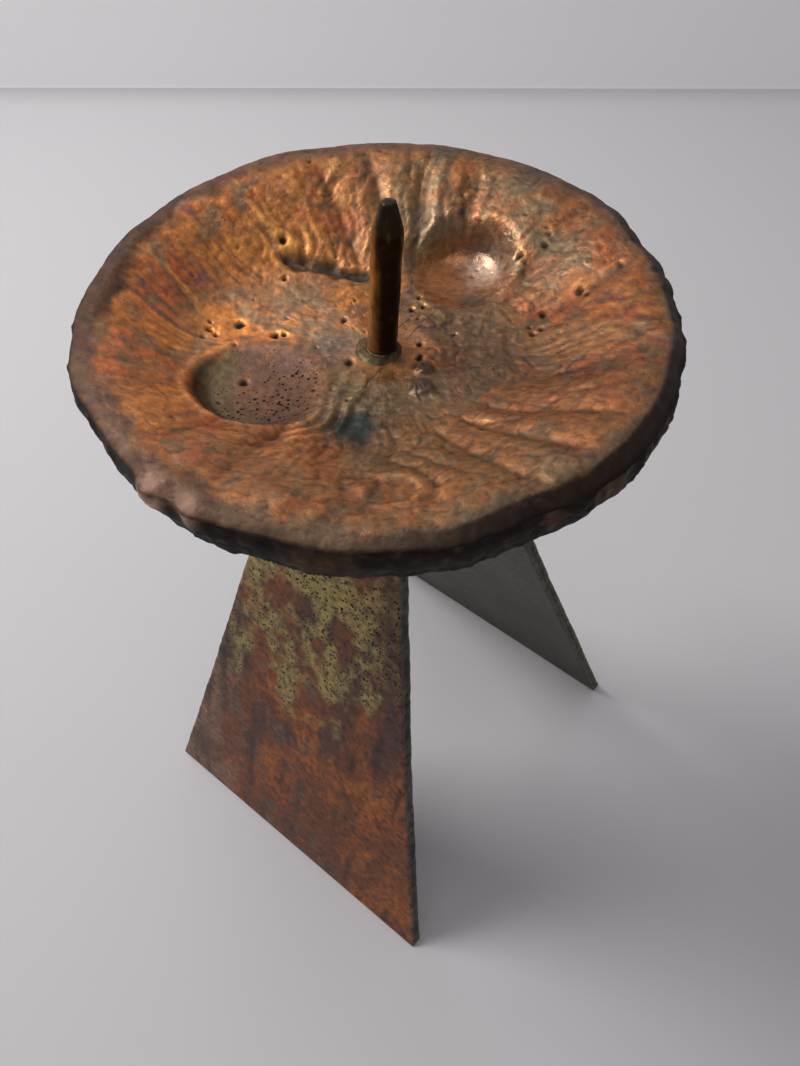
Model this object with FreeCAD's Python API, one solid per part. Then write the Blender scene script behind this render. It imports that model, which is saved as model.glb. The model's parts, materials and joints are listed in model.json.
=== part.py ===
"""Pricket candle holder: a cast dish with a candle spike, carried on two sheet plates that lean together.

Millimetres. The origin is on the table, midway between the two plates. +Z is up, +X runs along the
plates' feet and the plates lean towards each other across Y.
"""
import FreeCAD
import Part
import math
import os

from FreeCAD import Vector

# Driving dimensions of the dish
RIM_RADIUS = 60.0            # mean radius of the cast edge
RIM_HEIGHT = 204.0           # top of the rim above the table
RIM_SHOULDER = 3.0           # width of the margin that rolls over to the edge
RIM_ROLL = 1.4               # how far that margin drops at the edge
EDGE_THICKNESS = 10.5        # height of the rough outer edge
EDGE_ROUNDING = 3.0          # soft lower arris of the edge
EDGE_WAVE = 0.9              # how far the outline strays from a circle
EDGE_BELLY = 0.5             # how far the edge bulges half way down
WELL_DEPTH = 13.0            # rim to the floor of the well
FLOOR_RADIUS = 27.0          # where the wall of the well runs out into its floor
FLOOR_THICKNESS = 6.0        # metal under the floor of the well
BOSS_RADIUS = 27.0           # flat underside that the plates are brazed to
SEAT_RADIUS = 6.2            # flat seat for the foot of the spike

# The well is wider to the left and to the right: direction and spread in degrees, extra floor radius
WELL_BULGES = (
    (-150.0, 46.0, 14.5),
    (36.0, 36.0, 6.5),
)

# Round hollows in the floor: centre x, centre y, radius, depth of the middle, rise of the side, lip
HOLLOWS = (
    (-12.7, -23.6, 14.0, 1.9, 1.3, 0.5),
    (-0.3, 29.4, 11.6, 1.6, 3.4, 0.0),
)
HOLLOW_SIDE = 3.2            # width of the sloping side of a hollow
LIP_WIDTH = 1.9              # half width of the raised lip round a hollow

# Flow folds down the wall of the well
FOLD_HEIGHT = 0.75
FOLD_COUNT = 17
FOLD_DRIFT = 14.0            # degrees by which a fold wanders between the rim and the floor
FOLD_FADE = 7.0              # length over which the folds die out at the floor and at the rim

# Lumps of run-over metal on the edge: direction in degrees, how far they stand out, half width
LUMPS = (
    (-90.0, 2.4, 3.4),
    (-82.0, 1.5, 3.0),
)

# The cast surface is carried through rings this far apart, each with this many points
RING_SPACING = 2.0
RING_POINTS = 132
EDGE_RINGS = (0.25, 0.6, 1.0)    # shares of the way down the edge

# Candle spike
SPIKE_RADIUS = 2.75
SPIKE_HEIGHT = 34.5          # floor of the well to the tip, along the spike
SPIKE_LEAN = 3.8             # degrees out of upright
SPIKE_LEAN_TOWARDS = 39.0    # direction of that lean in plan, in degrees
SPIKE_TAPER = 6.0            # length of the blunt point
SPIKE_TIP_RADIUS = 1.1
SHOULDER_RADIUS = 3.3        # upset foot that stands on the floor of the well
SHOULDER_HEIGHT = 2.0
TENON_RADIUS = 2.2           # thinner end that goes through the dish
BRAZE_GAP = 0.05             # capillary gap that the filler metal fills
TAIL_RADIUS = 4.4            # peened tail under the dish
TAIL_HEIGHT = 1.8
COLLAR_WIDTH = 2.2           # braze collar round the foot of the spike
COLLAR_HEIGHT = 1.6
COLLAR_SAG = 0.36            # share of the width and height left half way up its hollow face

# Leg plates
PLATE_THICKNESS = 4.0
FOOT_HALF_LENGTH = 57.0      # half of the bottom edge
FOOT_OFFSET = 62.0           # centre line to the outer face on the table
TOP_HALF_LENGTH = 14.3       # half of the top edge, under the dish
TOP_OFFSET = 10.5            # centre line to the outer face under the dish
SIDE_BOW = 1.0               # how far the sheared sides curve inwards
CORNER_RADIUS = 2.0          # worn foot corners

# Braze beads between the plates and the dish
BEAD_LEG = 3.6

# Heights and slopes that follow from the dimensions above
FLOOR_Z = RIM_HEIGHT - WELL_DEPTH
UNDERSIDE_Z = FLOOR_Z - FLOOR_THICKNESS
WELL_RADIUS = RIM_RADIUS - RIM_SHOULDER
PLATE_LEAN = math.atan2(FOOT_OFFSET - TOP_OFFSET, UNDERSIDE_Z)
PLATE_DEPTH = PLATE_THICKNESS / math.cos(PLATE_LEAN)   # thickness measured level
TENON_BORE = TENON_RADIUS + BRAZE_GAP
COLLAR_BORE = SHOULDER_RADIUS + BRAZE_GAP
ROOT_Z = FLOOR_Z - FLOOR_THICKNESS / 2   # the leaning pieces start here and are then cut level at the floor
AXIS = Vector(0, 0, 1)
ORIGIN = Vector(0, 0, 0)


def line(start, end):
    return Part.LineSegment(start, end).toShape()


def smooth(share):
    """0 below 0, 1 above 1, and an S curve between."""
    share = min(max(share, 0.0), 1.0)
    return share * share * (3 - 2 * share)


def bell(distance, width):
    """1 at no distance, falling to nothing over a few widths."""
    return math.exp(-(distance / width) ** 2)


def turn_between(first, second):
    """The smaller angle from one direction to another, in degrees."""
    return (first - second + 180) % 360 - 180


def outline_stray(angle):
    """How far the cast edge strays from a circle: uneven waves that vanish on the X and Y axes, and lumps."""
    turn = math.radians(angle)
    waves = 0.6 * math.sin(5 * turn + 0.8) + 0.5 * math.sin(9 * turn + 2.0) + 0.4 * math.sin(17 * turn)
    return EDGE_WAVE * waves * abs(math.sin(2 * turn))


def lump_reach(angle):
    """How far the lumps stand out from the edge in a direction."""
    arc = math.radians(1) * RIM_RADIUS
    return sum(reach * bell(turn_between(angle, place) * arc, width) for place, reach, width in LUMPS)


def fold_level(radius, angle, foot):
    """Height of the flow folds: rounded crests of uneven width that drift as they run down the wall."""
    turn = math.radians(angle + FOLD_DRIFT * (WELL_RADIUS - radius) / WELL_RADIUS)
    phase = FOLD_COUNT * turn + 2.2 * math.sin(3 * turn) + 1.4 * math.sin(5 * turn + 1.0)
    crest = 2 * abs(math.cos(phase / 2)) - 1
    above_floor = smooth((radius - foot) / FOLD_FADE + 0.5)
    below_rim = 1 - smooth((radius - WELL_RADIUS) / FOLD_FADE + 1)
    return FOLD_HEIGHT * crest * above_floor * below_rim


def relief_level(radius, angle):
    """Height of the top of the casting: rolled rim, folded wall, floor and round hollows."""
    turn = math.radians(angle)
    x = radius * math.cos(turn)
    y = radius * math.sin(turn)
    foot = FLOOR_RADIUS
    for direction, spread, extra in WELL_BULGES:
        foot += extra * bell(turn_between(angle, direction), spread)
    share = min(max((radius - foot) / (WELL_RADIUS - foot), 0.0), 1.0)
    drop = 0.6 * (1 - share) ** 1.7 + 0.4 * (1 - smooth(share))
    level = RIM_HEIGHT - WELL_DEPTH * drop + fold_level(radius, angle, foot)
    for hollow_x, hollow_y, size, depth, rise, lip in HOLLOWS:
        away = math.hypot(x - hollow_x, y - hollow_y)
        inside = 1 - smooth((away - size) / HOLLOW_SIDE + 0.85)
        bowl = FLOOR_Z - depth + rise * (away / size) ** 2
        level = level * (1 - inside) + bowl * inside + lip * bell(away - size - LIP_WIDTH / 3, LIP_WIDTH)
    level -= RIM_ROLL * (max(radius - WELL_RADIUS, 0.0) / RIM_SHOULDER) ** 2
    seat = 1 - smooth((radius - SEAT_RADIUS) / SEAT_RADIUS)
    return level * (1 - seat) + FLOOR_Z * seat


def top_ring(radius, angle):
    """Radius and height of a point of the top of the casting; the outline's waves fade towards the middle."""
    outer = smooth(radius / RIM_RADIUS * 4 - 3)
    return radius + outline_stray(angle) * outer, relief_level(radius, angle)


def edge_ring(share, angle):
    """Radius and height of a point of the rough edge, at a share of the way down it."""
    height = RIM_HEIGHT - RIM_ROLL - share * (EDGE_THICKNESS - RIM_ROLL - EDGE_ROUNDING)
    belly = EDGE_BELLY * math.sin(math.pi * share)
    return RIM_RADIUS + outline_stray(angle) + belly + lump_reach(angle) * (1 - share), height


def under_ring(share, angle):
    """Radius and height of a point of the underside, at a share of the way from the edge to the flat boss."""
    start = RIM_RADIUS - EDGE_ROUNDING
    bottom_z = RIM_HEIGHT - EDGE_THICKNESS
    radius = start + (BOSS_RADIUS - start) * share
    height = bottom_z + (UNDERSIDE_Z - bottom_z) * smooth(share)
    return radius + outline_stray(angle) * (1 - share) ** 2, height


def ring_wire(ring, position):
    """A closed smooth curve through one ring of points."""
    points = []
    for step in range(RING_POINTS):
        angle = 360 * step / RING_POINTS
        radius, height = ring(position, angle)
        turn = math.radians(angle)
        points.append(Vector(radius * math.cos(turn), radius * math.sin(turn), height))
    curve = Part.BSplineCurve()
    even_steps = list(range(RING_POINTS + 1))
    curve.interpolate(Points=points, PeriodicFlag=True, Parameters=even_steps)
    return Part.Wire(curve.toShape())


def spread(first, last, spacing):
    """Even steps from first to last, about the spacing apart."""
    count = max(round(abs(last - first) / spacing), 1)
    return [first + (last - first) * step / count for step in range(count + 1)]


def cast_dish():
    """A skin through rings over the top, down the edge and under to the flat boss, with the tenon's bore."""
    top = [ring_wire(top_ring, radius) for radius in spread(SEAT_RADIUS, RIM_RADIUS, RING_SPACING)]
    edge = [ring_wire(edge_ring, share) for share in EDGE_RINGS]
    under = [ring_wire(under_ring, share) for share in spread(0.0, 1.0, RING_SPACING / BOSS_RADIUS)]
    solid, ruled = True, False
    dish = Part.makeLoft(top + edge + under, solid, ruled)
    bore = Part.makeCylinder(TENON_BORE, 3 * FLOOR_THICKNESS, Vector(0, 0, UNDERSIDE_Z - FLOOR_THICKNESS))
    return dish.cut(bore)


def leaning(shape):
    """A turned piece tipped to the spike's lean about its foot and cut off level at the floor of the well."""
    towards = math.radians(SPIKE_LEAN_TOWARDS)
    hinge = Vector(-math.sin(towards), math.cos(towards), 0)
    shape.rotate(Vector(0, 0, FLOOR_Z), hinge, SPIKE_LEAN)
    below = Part.makeCylinder(RIM_RADIUS, FLOOR_THICKNESS, Vector(0, 0, UNDERSIDE_Z))
    return shape.cut(below)


def pricket_spike():
    """A blunt-pointed rod that leans a little, on an upset shoulder; its tenon is peened under the dish."""
    tail_z = UNDERSIDE_Z - TAIL_HEIGHT
    tenon_points = [
        Vector(0, 0, tail_z),
        Vector(TAIL_RADIUS - TAIL_HEIGHT / 2, 0, tail_z),
        Vector(TAIL_RADIUS, 0, UNDERSIDE_Z),
        Vector(TENON_RADIUS, 0, UNDERSIDE_Z),
        Vector(TENON_RADIUS, 0, FLOOR_Z),
        Vector(0, 0, FLOOR_Z),
        Vector(0, 0, tail_z),
    ]
    shoulder_z = FLOOR_Z + SHOULDER_HEIGHT
    tip_z = FLOOR_Z + SPIKE_HEIGHT
    rod_points = [
        Vector(0, 0, ROOT_Z),
        Vector(SHOULDER_RADIUS, 0, ROOT_Z),
        Vector(SHOULDER_RADIUS, 0, shoulder_z),
        Vector(SPIKE_RADIUS, 0, shoulder_z),
        Vector(SPIKE_RADIUS, 0, tip_z - SPIKE_TAPER),
        Vector(SPIKE_TIP_RADIUS, 0, tip_z),
        Vector(0, 0, tip_z),
        Vector(0, 0, ROOT_Z),
    ]
    tenon = Part.Face(Part.makePolygon(tenon_points)).revolve(ORIGIN, AXIS, 360)
    rod = Part.Face(Part.makePolygon(rod_points)).revolve(ORIGIN, AXIS, 360)
    return tenon.fuse(leaning(rod))


def spike_collar():
    """The braze collar that has crept up round the shoulder of the spike, leaning with it."""
    reach = COLLAR_BORE + COLLAR_WIDTH
    crown = Vector(COLLAR_BORE, 0, FLOOR_Z + COLLAR_HEIGHT)
    toe = Vector(reach, 0, FLOOR_Z)
    sag = Vector(COLLAR_BORE + COLLAR_WIDTH * COLLAR_SAG, 0, FLOOR_Z + COLLAR_HEIGHT * COLLAR_SAG)
    edges = [
        line(Vector(COLLAR_BORE, 0, ROOT_Z), Vector(reach, 0, ROOT_Z)),
        line(Vector(reach, 0, ROOT_Z), toe),
        Part.Arc(toe, sag, crown).toShape(),
        line(crown, Vector(COLLAR_BORE, 0, ROOT_Z)),
    ]
    return leaning(Part.Face(Part.Wire(edges)).revolve(ORIGIN, AXIS, 360))


def plate_point(x, share):
    """A point on the front plate's outer face, at a share of the way from the table to the dish."""
    return Vector(x, -FOOT_OFFSET + share * (FOOT_OFFSET - TOP_OFFSET), share * UNDERSIDE_Z)


def leg_plate():
    """The front plate: sheared to a tall trapezium with slightly bowed sides, feet and top cut level."""
    middle = (FOOT_HALF_LENGTH + TOP_HALF_LENGTH) / 2 - SIDE_BOW
    corners = [
        plate_point(-FOOT_HALF_LENGTH, 0),
        plate_point(FOOT_HALF_LENGTH, 0),
        plate_point(TOP_HALF_LENGTH, 1),
        plate_point(-TOP_HALF_LENGTH, 1),
    ]
    outline = Part.Wire([
        line(corners[0], corners[1]),
        Part.Arc(corners[1], plate_point(middle, 0.5), corners[2]).toShape(),
        line(corners[2], corners[3]),
        Part.Arc(corners[3], plate_point(-middle, 0.5), corners[0]).toShape(),
    ])
    plate = Part.Face(outline).extrude(Vector(0, PLATE_DEPTH, 0))
    foot_edges = [
        edge for edge in plate.Edges
        if all(vertex.Z < CORNER_RADIUS and abs(vertex.X) > TOP_HALF_LENGTH for vertex in edge.Vertexes)
        and abs(edge.Vertexes[0].X - edge.Vertexes[-1].X) < CORNER_RADIUS
    ]
    return plate.makeFillet(CORNER_RADIUS, foot_edges)


def braze_bead(outside):
    """One fillet of filler metal along the top of the front plate, on its outer or inner face."""
    face_y = -TOP_OFFSET if outside else -TOP_OFFSET + PLATE_DEPTH
    side = -1 if outside else 1
    slope = math.tan(PLATE_LEAN)
    corner = Vector(-TOP_HALF_LENGTH, face_y, UNDERSIDE_Z)
    along_dish = corner + Vector(0, side * BEAD_LEG, 0)
    down_plate = corner + Vector(0, -slope * BEAD_LEG, -BEAD_LEG)
    crown = (along_dish + down_plate) / 2 + Vector(0, side, -1) * (BEAD_LEG * 0.08)
    edges = [
        line(corner, along_dish),
        Part.Arc(along_dish, crown, down_plate).toShape(),
        line(down_plate, corner),
    ]
    return Part.Face(Part.Wire(edges)).extrude(Vector(2 * TOP_HALF_LENGTH, 0, 0))


def turned_round(shape):
    """The same piece on the other side of the holder."""
    copy = shape.copy()
    copy.rotate(ORIGIN, AXIS, 180)
    return copy


def main():
    os.makedirs("parts", exist_ok=True)
    plate = leg_plate()
    outer_bead = braze_bead(outside=True)
    inner_bead = braze_bead(outside=False)
    nodes = {
        "cast_dish": cast_dish(),
        "pricket_spike": pricket_spike(),
        "spike_braze_collar": spike_collar(),
        "front_leg_plate": plate,
        "back_leg_plate": turned_round(plate),
        "front_outer_braze_bead": outer_bead,
        "front_inner_braze_bead": inner_bead,
        "back_outer_braze_bead": turned_round(outer_bead),
        "back_inner_braze_bead": turned_round(inner_bead),
    }
    for name, shape in nodes.items():
        shape.exportStep(f"parts/{name}.step")
        box = shape.BoundBox
        print(f"{name}: {len(shape.Solids)} solid, valid {shape.isValid()}, {shape.Volume / 1000:.2f} cm3, "
              f"z {box.ZMin:.2f} to {box.ZMax:.2f}")


main()
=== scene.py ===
import json
import math

import bpy
import numpy as np
from mathutils import Matrix, Vector


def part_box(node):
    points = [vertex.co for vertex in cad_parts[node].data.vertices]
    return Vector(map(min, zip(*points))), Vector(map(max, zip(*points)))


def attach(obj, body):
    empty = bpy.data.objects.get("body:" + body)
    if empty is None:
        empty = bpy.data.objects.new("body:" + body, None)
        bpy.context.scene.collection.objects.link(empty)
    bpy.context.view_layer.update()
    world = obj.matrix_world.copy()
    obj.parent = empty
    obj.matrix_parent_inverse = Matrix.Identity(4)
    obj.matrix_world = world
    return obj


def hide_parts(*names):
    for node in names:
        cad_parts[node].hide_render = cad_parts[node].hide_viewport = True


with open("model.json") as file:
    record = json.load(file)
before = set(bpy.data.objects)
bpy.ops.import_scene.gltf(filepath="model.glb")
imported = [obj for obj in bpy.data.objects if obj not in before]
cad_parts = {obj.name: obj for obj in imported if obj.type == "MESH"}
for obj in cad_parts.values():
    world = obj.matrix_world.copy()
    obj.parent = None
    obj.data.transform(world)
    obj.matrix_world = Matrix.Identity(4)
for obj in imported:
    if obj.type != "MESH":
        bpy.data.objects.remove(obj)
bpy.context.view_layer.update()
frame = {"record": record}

bl_info = {
    "name": "Pricket Candle Holder",
    "version": (1, 0, 0),
    "blender": (4, 5, 0),
    "location": "View3D > Sidebar > Candle Holder",
    "description": "A cast candle dish with a spike, on two sheet plates that lean together",
    "category": "Add Mesh",
}

# Sizes read from the frame, in metres
DISH_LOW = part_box("cast_dish")[0]
SPIKE_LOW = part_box("pricket_spike")[0]
PLATE_LOW, PLATE_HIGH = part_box("front_leg_plate")
BEAD_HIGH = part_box("front_outer_braze_bead")[1]
SPIKE_MOUNT = next(mount for mount in frame["record"]["mounts"] if mount["name"] == "pricket")
SPIKE_AXIS = SPIKE_MOUNT["axis"]

MM = 0.001
TAU = 2 * math.pi


def length(name, description, default):
    """A size in metres that a user may change."""
    return bpy.props.FloatProperty(
        name=name, description=description, default=default, unit="LENGTH", precision=4)


def colour(name, description, default):
    """A linear colour that a user may change."""
    return bpy.props.FloatVectorProperty(
        name=name, description=description, default=default, subtype="COLOR", min=0.0, max=1.0)


def rotation(name, description, default):
    """An angle in radians that a user may change."""
    return bpy.props.FloatProperty(name=name, description=description, default=default, subtype="ANGLE")


def amount(name, description, default):
    """A plain number that a user may change."""
    return bpy.props.FloatProperty(name=name, description=description, default=default)


class DishSettings(bpy.types.PropertyGroup):
    """Sizes and colours of the cast dish."""
    rim_radius: length("Rim radius", "Mean radius of the cast edge", 60 * MM)
    rim_height: length("Rim height", "Top of the rim above the table", 204 * MM)
    rim_shoulder: length("Rim shoulder", "Margin that rolls over to the edge", 3 * MM)
    rim_roll: length("Rim roll", "How far that margin drops at the edge", 0.7 * MM)
    edge_thickness: length("Edge thickness", "Height of the rough outer edge", 10.5 * MM)
    edge_rounding: length("Edge rounding", "Soft lower arris of the edge", 3 * MM)
    edge_belly: length("Edge belly", "How far the edge bulges half way down", 0.5 * MM)
    well_depth: length("Well depth", "Rim to the floor of the well", 13 * MM)
    floor_radius: length("Floor radius", "Where the wall runs out into the floor", 27 * MM)
    boss_radius: length("Boss radius", "Flat underside that the plates are brazed to", 27 * MM)
    bore_radius: length("Bore radius", "Hole for the tenon of the spike", 2.25 * MM)
    underside: length("Underside", "Height of the flat underside", DISH_LOW[2])
    fold_height: length("Fold height", "How far the broad folds stand up", 0.75 * MM)
    copper: colour("Copper", "Cleaned copper on the wall", (0.58, 0.190, 0.036))
    gold: colour("Gold", "Bright streaks on the ridges", (0.74, 0.33, 0.070))
    ember: colour("Ember", "Red patches where the copper is hottest in colour", (0.47, 0.115, 0.034))
    brown: colour("Brown", "Tarnished copper in the folds", (0.23, 0.105, 0.053))
    ash: colour("Ash", "Grey-brown film on the folds", (0.235, 0.148, 0.078))
    olive: colour("Olive", "Olive skin on the floor", (0.205, 0.155, 0.080))
    slate: colour("Slate", "Blue-grey skin round the spike", (0.155, 0.130, 0.115))
    rose: colour("Rose", "Pinkish skin of the hollows", (0.240, 0.118, 0.066))
    plum: colour("Plum", "Purple-grey streaks", (0.150, 0.085, 0.075))
    # painted highlight: a pale pinkish patch on the right hollow's right-back wall that stands in for the
    # reflection of the light
    painted_highlight: colour("Polish", "Bright worn side of the right hollow", (0.86, 0.58, 0.43))
    # teal is also laid in the cleft, where it is partly painted shade
    teal: colour("Teal", "Dark green-blue stains", (0.034, 0.045, 0.038))
    # soot also paints the shade line inside the left hollow's lip
    soot: colour("Soot", "Pits and deep cracks", (0.018, 0.012, 0.009))
    margin: colour("Margin", "Purple-brown rim margin", (0.135, 0.078, 0.056))
    # partly a real dark crust, partly painted shade where the edge faces away from the light
    crust_and_shade: colour("Crust", "Dark crust on the outer edge", (0.016, 0.0085, 0.007))
    # partly the lumps' real pinkish colour, partly painted sheen that makes them look shiny
    blister_and_sheen: colour("Blister", "Pinkish lumps on the edge", (0.46, 0.27, 0.20))


class SpikeSettings(bpy.types.PropertyGroup):
    """Sizes and colours of the candle spike and the filler round its foot."""
    radius: length("Radius", "Radius of the spike", SPIKE_MOUNT["dims"]["r_mm"] * MM)
    height: length("Height", "Floor of the well to the tip, along the spike", 34.5 * MM)
    lean: rotation("Lean", "How far the spike stands out of upright", math.acos(SPIKE_AXIS[2]))
    lean_towards: rotation(
        "Lean towards", "Direction of that lean in plan", math.atan2(SPIKE_AXIS[1], SPIKE_AXIS[0]))
    scale: length("Scale", "Thickness of the scale on the rod", 0.3 * MM)
    taper: length("Taper", "Length of the blunt point", 6 * MM)
    tip_radius: length("Tip radius", "Radius of the blunt end", 1.35 * MM)
    shoulder_radius: length("Shoulder radius", "Radius of the upset foot", 3.3 * MM)
    shoulder_height: length("Shoulder height", "Height of the upset foot", 2.0 * MM)
    tenon_radius: length("Tenon radius", "Radius inside the dish", 2.2 * MM)
    tail: length("Tail", "Lowest point of the peened tail", SPIKE_LOW[2])
    tail_radius: length("Tail radius", "Radius of the peened tail", 4.4 * MM)
    collar_radius: length("Collar radius", "Reach of the filler round the foot", 5.55 * MM)
    collar_height: length("Collar height", "Height of the filler round the foot", 1.6 * MM)
    iron: colour("Iron", "Dark heat-blackened rod", (0.030, 0.019, 0.009))
    # real golden scale, laid thickest on the side of the rod that faces the window light, as painted light
    brass: colour("Brass", "Golden scale on the rod", (0.33, 0.19, 0.055))
    filler: colour("Filler", "Yellow-grey filler metal", (0.070, 0.050, 0.026))


class PlateSettings(bpy.types.PropertyGroup):
    """Sizes and colours of the two leg plates and the beads that hold them."""
    foot_half: length("Foot half length", "Half of the bottom edge", PLATE_HIGH[0])
    foot_offset: length("Foot offset", "Centre line to the outer face on the table", -PLATE_LOW[1])
    top_half: length("Top half length", "Half of the top edge", BEAD_HIGH[0])
    top_offset: length("Top offset", "Centre line to the outer face under the dish", -BEAD_HIGH[1])
    depth: length("Level depth", "Thickness measured level", PLATE_HIGH[1] - BEAD_HIGH[1])
    height: length("Height", "Top edge above the table", PLATE_HIGH[2])
    side_bow: length("Side bow", "How far the sheared sides curve inwards", 1.0 * MM)
    side_trim: length("Side trim", "How much one side is cut back at the top", 2.1 * MM)
    bead_leg: length("Bead leg", "Reach of each bead along plate and dish", 3.6 * MM)
    rust: colour("Rust", "Red-brown body colour", (0.17, 0.058, 0.027))
    ember: colour("Ember", "Brighter orange patches", (0.36, 0.110, 0.030))
    blush: colour("Blush", "Pinkish-brown along the sheared side", (0.24, 0.135, 0.095))
    brassy: colour("Brassy", "Olive-yellow metal run down from the dish", (0.33, 0.255, 0.100))
    soot: colour("Soot", "Black speckles and streaks", (0.020, 0.015, 0.013))
    plum: colour("Plum", "Purple heat tint", (0.075, 0.035, 0.036))
    pewter: colour("Pewter", "Grey-green inner face", (0.105, 0.10, 0.085))
    umber: colour("Umber", "Brown towards the feet of the inner face", (0.060, 0.047, 0.038))
    shear: colour("Shear", "Sheared edge", (0.095, 0.085, 0.075))


class StageSettings(bpy.types.PropertyGroup):
    """Floor, light and camera."""
    camera_place: bpy.props.FloatVectorProperty(
        name="Camera place", description="Where the camera stands", subtype="TRANSLATION",
        default=(86.8 * MM, -101.85 * MM, 309.5 * MM), precision=4)
    camera_heading: rotation(
        "Camera heading", "Direction of view in plan, turned from +X", math.radians(129.15))
    camera_pitch: rotation("Camera pitch", "How far the camera looks down", math.radians(54.08))
    camera_roll: rotation("Camera roll", "Turn about the line of sight", math.radians(1.2))
    camera_focal_pixels: amount("Focal length", "In pixels of the 800 by 1066 image", 825.0)
    wall_distance: length("Wall distance", "Table centre to the back wall", 489 * MM)
    wall_turn: rotation(
        "Wall turn", "How far the wall is turned from square to the view", math.radians(-2.6))
    ceiling_power: amount("Ceiling light", "Power of the light overhead, in watts", 0.7)
    window_power: amount("Window light", "Power of the light on the left, in watts", 5.4)
    room_light: amount("Room light", "Strength of the light from all round", 0.29)
    floor_colour: colour("Floor", "Pale table top", (0.65, 0.637, 0.656))
    wall_colour: colour("Wall", "Paler wall behind it", (0.95, 0.94, 0.955))


class HolderSettings(bpy.types.PropertyGroup):
    """All settings of the candle holder."""
    dish: bpy.props.PointerProperty(type=DishSettings)
    spike: bpy.props.PointerProperty(type=SpikeSettings)
    plates: bpy.props.PointerProperty(type=PlateSettings)
    stage: bpy.props.PointerProperty(type=StageSettings)


# Helpers for smooth shapes and repeatable roughness

SCRAMBLE = (374761393, 668265263, 1440662683, 974634777)  # odd factors for x, y, z and the seed
SCRAMBLE_AGAIN = 1274126177
LOW_BITS = 0x7FFFFFFF


def ease(value, low, high):
    """0 below low, 1 above high, and a smooth S between them."""
    share = np.clip((value - low) / (high - low), 0.0, 1.0)
    return share * share * (3 - 2 * share)


def bell(distance, width):
    """1 at no distance, falling to nothing over a few widths."""
    return np.exp(-np.square(distance / width))


def sector(angle, centre, width):
    """A bell on a circle, with its centre and width in degrees."""
    turn = (angle - math.radians(centre) + math.pi) % TAU - math.pi
    return bell(turn, math.radians(width))


def lattice_value(ix, iy, iz, seed):
    """A repeatable number from -1 to 1 for each whole-number point, by scrambling its bits."""
    bits = sum(part * factor for part, factor in zip((ix, iy, iz, seed), SCRAMBLE)) & LOW_BITS
    bits = ((bits ^ (bits >> 13)) * SCRAMBLE_AGAIN) & LOW_BITS
    bits = bits ^ (bits >> 16)
    return (bits & 0xFFFF) / 32767.5 - 1


def noise(x, y, z, seed):
    """Values at whole-number points, blended along the three axes by a smooth step."""
    places = np.broadcast_arrays(x, y, z)
    corners = [np.floor(place).astype(np.int64) for place in places]
    blends = [ease(place - corner, 0.0, 1.0) for place, corner in zip(places, corners)]
    total = np.zeros(places[0].shape)
    for step in range(8):
        steps = (step & 1, step >> 1 & 1, step >> 2 & 1)
        weight = np.ones_like(total)
        for blend, one in zip(blends, steps):
            weight = weight * (blend if one else 1 - blend)
        total += weight * lattice_value(*(c + one for c, one in zip(corners, steps)), seed)
    return total


def layers(x, y, z, seed, count=4):
    """Noise of doubling fineness and halving strength, added up and brought back to about -1 to 1."""
    usual_peak = 1.6
    total = 0.0
    for layer in range(count):
        fineness = 2.0 ** layer
        total = total + noise(x * fineness, y * fineness, z * fineness, seed + layer) / fineness
    return total / usual_peak


def ridges(value):
    """Noise folded about zero, so that it has rounded crests and sharp valleys between them."""
    return 2 * np.sqrt(np.abs(value)) - 1


def mixed(first, second, share):
    """Colours blended point by point."""
    share = np.clip(share, 0.0, 1.0)[..., None]
    return np.asarray(first) * (1 - share) + np.asarray(second) * share


def grid_mesh(name, points, close_rows):
    """A mesh over a grid of points in millimetres, whose columns go round.

    Its rows close up too, or are capped flat. A cap pairs each point of the end row with its mirror point
    in that row, so it stays quads.
    """
    rows, columns = points.shape[:2]
    index = np.arange(rows * columns).reshape(rows, columns)
    below = index if close_rows else index[:-1]
    above = np.roll(index, -1, axis=0) if close_rows else index[1:]
    quads = [np.stack([below, np.roll(below, -1, 1), np.roll(above, -1, 1), above], -1).reshape(-1, 4)]
    if not close_rows:
        half = np.arange(columns // 2 - 1)
        mirror = columns - 1 - half
        first, last = index[0], index[-1]
        quads.append(np.stack([first[half], first[mirror], first[mirror - 1], first[half + 1]], -1))
        quads.append(np.stack([last[half], last[half + 1], last[mirror - 1], last[mirror]], -1))
    faces = np.concatenate(quads)
    places = points.reshape(-1, 3) * MM
    corner = places[faces]
    volume = np.einsum("ij,ij->", corner[:, 0], np.cross(corner[:, 1], corner[:, 2]))
    volume += np.einsum("ij,ij->", corner[:, 0], np.cross(corner[:, 2], corner[:, 3]))
    if volume < 0:
        faces = faces[:, ::-1]
    mesh = bpy.data.meshes.new(name)
    mesh.vertices.add(len(places))
    mesh.vertices.foreach_set("co", places.ravel())
    mesh.loops.add(faces.size)
    mesh.loops.foreach_set("vertex_index", faces.ravel())
    mesh.polygons.add(len(faces))
    mesh.polygons.foreach_set("loop_start", np.arange(0, faces.size, 4))
    mesh.polygons.foreach_set("use_smooth", np.ones(len(faces), dtype=bool))
    mesh.update(calc_edges=True)
    mesh.validate()
    return mesh


def paint(mesh, patina, gloss, specks):
    """Stores colour, roughness and the share of fine dark specks at each point."""
    rgba = np.concatenate([patina, np.ones(patina.shape[:-1] + (1,))], -1).reshape(-1, 4)
    mesh.attributes.new("patina", "FLOAT_COLOR", "POINT").data.foreach_set("color", rgba.ravel())
    for name, values in (("gloss", gloss), ("specks", specks)):
        flat = np.broadcast_to(values, patina.shape[:-1]).ravel()
        mesh.attributes.new(name, "FLOAT", "POINT").data.foreach_set("value", flat)


def place_piece(name, mesh, material, slot, *nodes):
    """Puts a finished mesh into the scene in place of the solids that it stands for."""
    piece = bpy.data.objects.new(name, mesh)
    bpy.context.scene.collection.objects.link(piece)
    mesh.materials.append(material)
    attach(piece, "root")
    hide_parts(*nodes)
    return piece


# Finishes

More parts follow.
